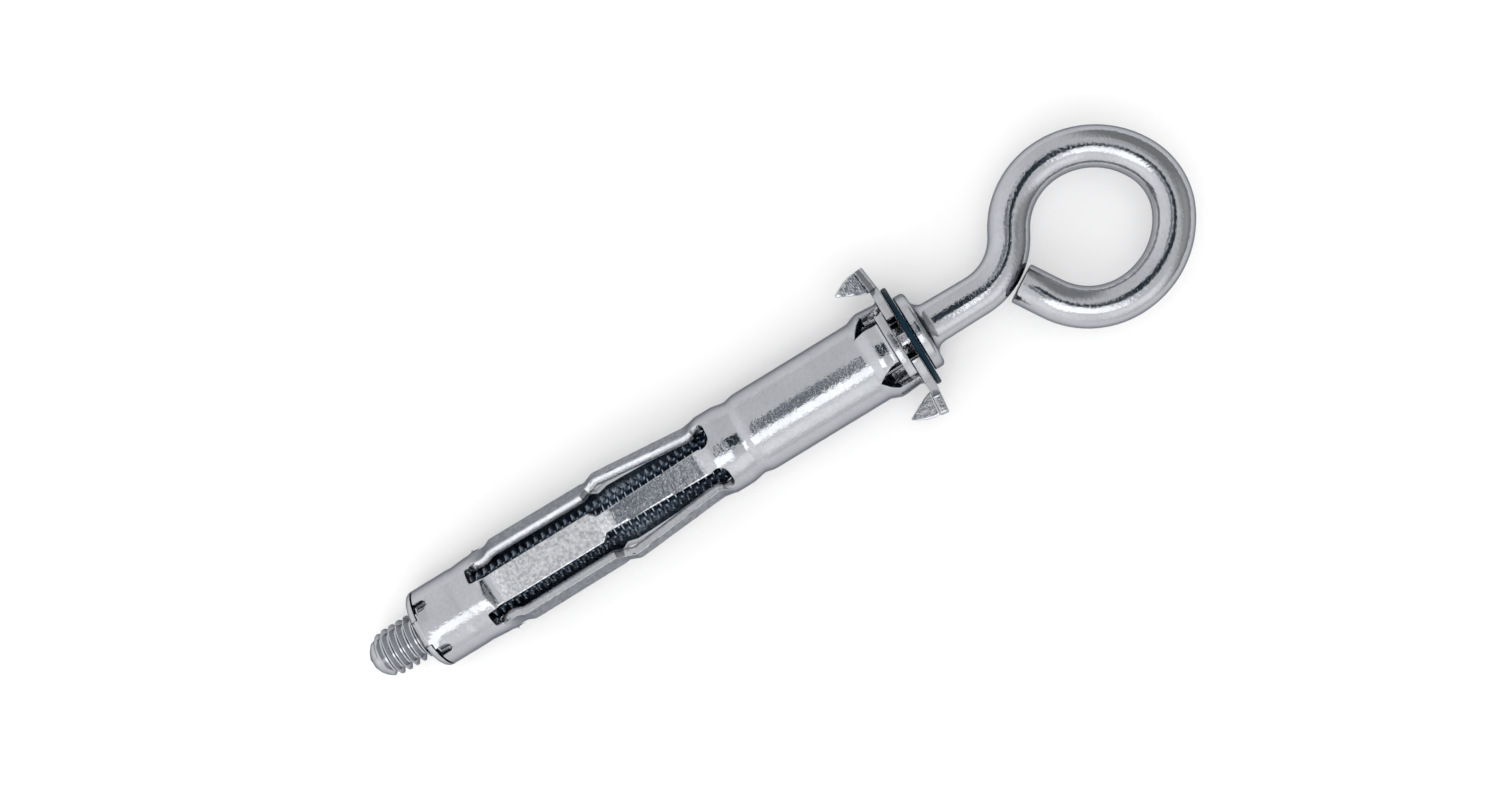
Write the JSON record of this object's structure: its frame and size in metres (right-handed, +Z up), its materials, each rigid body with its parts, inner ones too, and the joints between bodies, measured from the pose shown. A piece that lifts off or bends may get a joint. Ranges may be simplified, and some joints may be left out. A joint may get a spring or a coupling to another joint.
{
  "type": "hollow wall anchor",
  "caption": "Zinc-plated hollow wall anchor: slit expanding sleeve with claws, captive nut, washer and screw-in eye bolt.",
  "frame": {"origin": "on the table under the middle of the anchor's bounding box, as it lies at rest", "axes": "+X along the anchor from the thread's tip towards the eye (the anchor's own axis rises by about 2 degrees), +Z up, the eye lies flat"},
  "size_m": [0.0754, 0.0158, 0.0098],
  "materials": {
    "sleeve_sheet": "bright zinc-plated sheet",
    "nut_steel": "bright zinc-plated",
    "washer_plastic": "dark moulded plastic",
    "bolt_wire": "bright zinc-plated wire"
  },
  "bodies": {
    "anchor": {"sleeve": "sleeve_sheet", "nut": "nut_steel"},
    "washer": {"washer": "washer_plastic"},
    "bolt": {"eye_bolt": "bolt_wire"}
  },
  "joints": [
    {"name": "bolt_travel", "type": "slide", "parent": "anchor", "child": "washer", "axis": [0.9994, 0, 0.0338], "range_m": [0, 0.0084]},
    {"name": "bolt_turn", "type": "hinge", "parent": "washer", "child": "bolt", "pos_m": [0.01275, 0, 0.00492], "axis": [0.9994, 0, 0.0338], "range_deg": [0, 4320]}
  ],
  "couplings": [
    {"joint": "bolt_turn", "follows": "bolt_travel", "rad_per_m": 8976}
  ]
}
